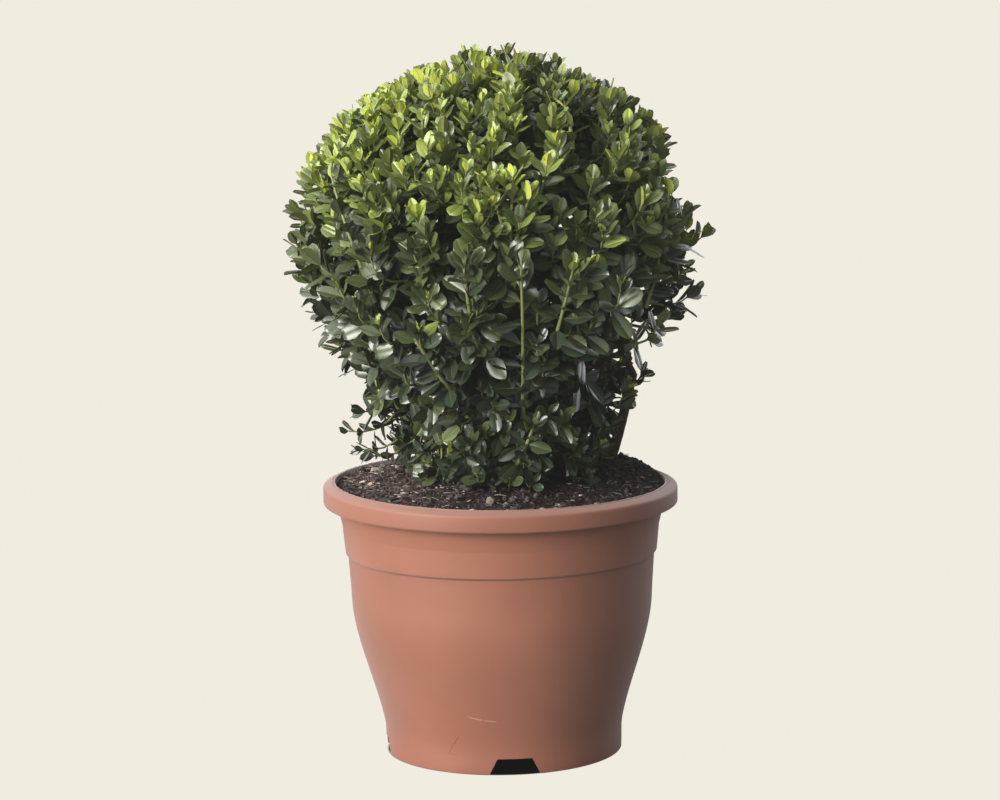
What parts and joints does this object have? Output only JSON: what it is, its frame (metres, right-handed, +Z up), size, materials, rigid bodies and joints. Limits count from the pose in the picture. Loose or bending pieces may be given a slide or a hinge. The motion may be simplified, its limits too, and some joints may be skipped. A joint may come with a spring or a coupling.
{
  "type": "potted box topiary ball",
  "caption": "Evergreen box shrub clipped to a ball, dense small glossy leaves down to the soil, in a round tapered plastic container pot with a rolled rim.",
  "frame": {"origin": "on the ground under the pot, at the bottom centre of the whole plant and pot; it is on the pot's axis to within a few millimetres", "axes": "+Z up along the pot's axis; -Y towards the front, the side from which the plant is usually shown; +X to the right as seen from the front"},
  "size_m": [0.3185, 0.308, 0.519],
  "materials": {
    "pot": "matte terracotta-coloured moulded plastic",
    "soil": "rough dark moist potting soil, loose crumbs and fibres",
    "bark": "matte grey-brown bark, paler on young wood",
    "foliage_lower": "glossy dark green leaves",
    "foliage_upper": "glossy mid green leaves with some young yellow-green ones",
    "foliage_top": "glossy fresh green and yellow-green leaves"
  },
  "bodies": {
    "root": {"pot": "pot", "soil": "soil", "trunk": "bark", "stem_1": "bark", "stem_2": "bark", "stem_3": "bark", "stem_4": "bark", "stem_5": "bark", "stem_6": "bark", "bough_1": "bark", "bough_2": "bark", "bough_3": "bark", "bough_4": "bark", "bough_5": "bark", "foliage_lower_1": "foliage_lower", "foliage_lower_2": "foliage_lower", "foliage_lower_3": "foliage_lower", "foliage_lower_4": "foliage_lower", "foliage_lower_5": "foliage_lower", "foliage_lower_6": "foliage_lower", "foliage_upper_1": "foliage_upper", "foliage_upper_2": "foliage_upper", "foliage_upper_3": "foliage_upper", "foliage_upper_4": "foliage_upper", "foliage_upper_5": "foliage_upper", "foliage_top": "foliage_top"}
  },
  "joints": []
}
